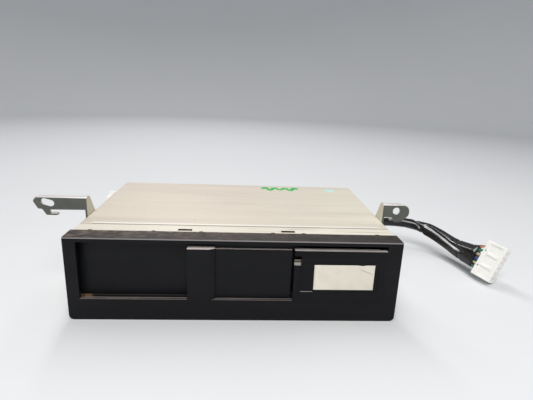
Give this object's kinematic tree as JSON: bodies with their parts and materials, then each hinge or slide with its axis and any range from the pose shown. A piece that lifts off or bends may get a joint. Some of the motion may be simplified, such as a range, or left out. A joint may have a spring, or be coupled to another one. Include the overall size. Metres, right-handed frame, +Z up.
{
  "type": "boot-mounted compact disc changer",
  "caption": "Flat steel-cased disc changer with a sliding two-leaf front door, a tray magazine, a lift with playing unit, bolt-on ears and a side lead ending in a plug.",
  "frame": {"origin": "centre of the case's underside, halfway between the front's face and the case's back", "axes": "+X to the right seen from the front, +Y from the front to the back, +Z up"},
  "size_m": [0.423, 0.171, 0.0809],
  "materials": {
    "front_plastic": "matt, dusty",
    "door_plastic": "satin",
    "panel_plastic": "satin",
    "label_paper": "matt paper",
    "guide_plastic": "satin",
    "cover_sheet": "dull zinc with a cream tone",
    "chassis_sheet": "zinc plated",
    "bracket_sheet": "dull grey-green",
    "lug_sheet": "white zinc",
    "screw_steel": "plated",
    "frame_sheet": "zinc plated",
    "rod_steel": "ground",
    "motor_can": "nickel plated",
    "gear_plastic": "moulded acetal",
    "worm_brass": "turned",
    "magazine_plastic": "smooth",
    "tray_plastic": "fine grain",
    "damper_rubber": "soft",
    "deck_sheet": "black",
    "pickup_metal": "die cast",
    "button_plastic": "satin",
    "board_laminate": "lacquered",
    "component_plastic": "matt",
    "ribbon_plastic": "satin",
    "socket_plastic": "satin",
    "grommet_rubber": "soft",
    "lead_vinyl": "glossy, wrinkled tape",
    "wire_vinyl": "smooth",
    "plug_plastic": "natural nylon"
  },
  "bodies": {
    "case": {"bottom_chassis": "chassis_sheet", "top_cover": "cover_sheet", "case_screws": "screw_steel", "front_bezel": "front_plastic", "fixed_cover_panel": "panel_plastic", "paper_label": "label_paper", "door_track": "guide_plastic", "door_top_guide": "guide_plastic", "door_rack": "gear_plastic", "left_bracket": "bracket_sheet", "right_bracket": "bracket_sheet", "side_lug": "lug_sheet", "magazine_bay": "frame_sheet", "magazine_shell": "magazine_plastic", "magazine_lid": "magazine_plastic", "tray_1": "tray_plastic", "tray_2": "tray_plastic", "tray_3": "tray_plastic", "tray_4": "tray_plastic", "tray_5": "tray_plastic", "mechanism_frame": "frame_sheet", "lift_motor": "motor_can", "main_board": "board_laminate", "board_parts": "component_plastic", "board_screws": "screw_steel", "ribbon_cable": "ribbon_plastic", "wiring_socket": "socket_plastic", "wiring_grommet": "grommet_rubber", "lead": "lead_vinyl", "lead_wires": "wire_vinyl", "plug": "plug_plastic"},
    "front_leaf": {"front_door_leaf": "door_plastic"},
    "rear_leaf": {"rear_door_leaf": "door_plastic"},
    "door_gear": {"door_pinion": "gear_plastic"},
    "play_tray": {"tray_6": "tray_plastic"},
    "elevator": {"lift_carriage": "frame_sheet", "rubber_dampers": "damper_rubber", "tray_rails": "guide_plastic", "puller_bracket": "frame_sheet", "puller_motor": "motor_can", "deck": "deck_sheet", "spindle_motor": "motor_can", "guide_rods": "rod_steel", "sled_motor": "motor_can", "clamp_pin": "rod_steel"},
    "puller": {"tray_puller": "gear_plastic"},
    "pull_screw": {"puller_screw": "rod_steel"},
    "disc_drive": {"turntable": "component_plastic"},
    "pickup": {"optical_pickup": "pickup_metal"},
    "pickup_screw": {"sled_screw": "rod_steel"},
    "clamp": {"clamp_arm": "frame_sheet"},
    "clamp_disc": {"clamper": "component_plastic"},
    "front_cam": {"front_lift_cam": "gear_plastic"},
    "rear_cam": {"rear_lift_cam": "gear_plastic"},
    "lift_shaft": {"sync_shaft": "rod_steel", "lift_gears": "gear_plastic"},
    "worm": {"lift_worm": "worm_brass"},
    "button": {"eject_button": "button_plastic"},
    "latch": {"latch_lever": "gear_plastic"}
  },
  "joints": [
    {"name": "door_slide", "type": "slide", "parent": "case", "child": "front_leaf", "axis": [1, 0, 0], "range_m": [0, 0.0584]},
    {"name": "rear_leaf_slide", "type": "slide", "parent": "case", "child": "rear_leaf", "axis": [1, 0, 0], "range_m": [0, 0.1402]},
    {"name": "door_pinion_spin", "type": "hinge", "parent": "front_leaf", "child": "door_gear", "pos_m": [-0.028, -0.074, 0.0088], "axis": [0, 1, 0], "range_deg": [0, 893.29]},
    {"name": "tray_slide", "type": "slide", "parent": "case", "child": "play_tray", "axis": [1, 0, 0], "range_m": [0, 0.102]},
    {"name": "elevator_lift", "type": "slide", "parent": "case", "child": "elevator", "axis": [0, 0, 1], "range_m": [-0.028, 0]},
    {"name": "puller_slide", "type": "slide", "parent": "elevator", "child": "puller", "axis": [1, 0, 0], "range_m": [0, 0.102]},
    {"name": "puller_screw_spin", "type": "hinge", "parent": "elevator", "child": "pull_screw", "pos_m": [0, 0.0744, 0.047], "axis": [1, 0, 0], "range_deg": [0, 9181]},
    {"name": "turntable_spin", "type": "hinge", "parent": "elevator", "child": "disc_drive", "pos_m": [0.052, 0.001, 0.044], "axis": [0, 0, 1], "continuous": true},
    {"name": "pickup_slide", "type": "slide", "parent": "elevator", "child": "pickup", "axis": [1, 0, 0], "range_m": [0, 0.03]},
    {"name": "sled_screw_spin", "type": "hinge", "parent": "elevator", "child": "pickup_screw", "pos_m": [0.06, 0.026, 0.0444], "axis": [1, 0, 0], "range_deg": [0, 5401]},
    {"name": "clamp_hinge", "type": "hinge", "parent": "elevator", "child": "clamp", "pos_m": [0.1168, 0.001, 0.0575], "axis": [0, 1, 0], "range_deg": [-3.5, 0]},
    {"name": "clamper_spin", "type": "hinge", "parent": "clamp", "child": "clamp_disc", "pos_m": [0.052, 0.001, 0.056], "axis": [0, 0, 1], "continuous": true},
    {"name": "front_cam_slide", "type": "slide", "parent": "case", "child": "front_cam", "axis": [1, 0, 0], "range_m": [0, 0.028]},
    {"name": "rear_cam_slide", "type": "slide", "parent": "case", "child": "rear_cam", "axis": [1, 0, 0], "range_m": [0, 0.028]},
    {"name": "lift_shaft_spin", "type": "hinge", "parent": "case", "child": "lift_shaft", "pos_m": [0.018, 0.006, 0.006], "axis": [0, 1, 0], "range_deg": [0, 428.81]},
    {"name": "lift_worm_spin", "type": "hinge", "parent": "case", "child": "worm", "pos_m": [0.012, 0.006, 0.013], "axis": [1, 0, 0], "range_deg": [0, 7705.55]},
    {"name": "eject_press", "type": "slide", "parent": "case", "child": "button", "axis": [0, 1, 0], "range_m": [0, 0.003], "stiffness_N_per_m": 300, "springref_m": -0.003},
    {"name": "latch_swing", "type": "hinge", "parent": "case", "child": "latch", "pos_m": [0.01, -0.018, 0.012], "axis": [0, 0, 1], "range_deg": [0, 18.6]}
  ],
  "couplings": [
    {"joint": "rear_leaf_slide", "follows": "door_slide", "ratio": 2.4},
    {"joint": "door_pinion_spin", "follows": "door_slide", "rad_per_m": 266.67},
    {"joint": "puller_slide", "follows": "tray_slide", "ratio": 1},
    {"joint": "puller_screw_spin", "follows": "tray_slide", "rad_per_m": 1570.8},
    {"joint": "sled_screw_spin", "follows": "pickup_slide", "rad_per_m": 3141.6},
    {"joint": "clamper_spin", "follows": "turntable_spin", "ratio": 1},
    {"joint": "front_cam_slide", "follows": "elevator_lift", "ratio": -1},
    {"joint": "rear_cam_slide", "follows": "elevator_lift", "ratio": -1},
    {"joint": "lift_shaft_spin", "follows": "elevator_lift", "rad_per_m": -266.67},
    {"joint": "lift_worm_spin", "follows": "elevator_lift", "rad_per_m": -4800},
    {"joint": "latch_swing", "follows": "eject_press", "rad_per_m": 107.63}
  ]
}
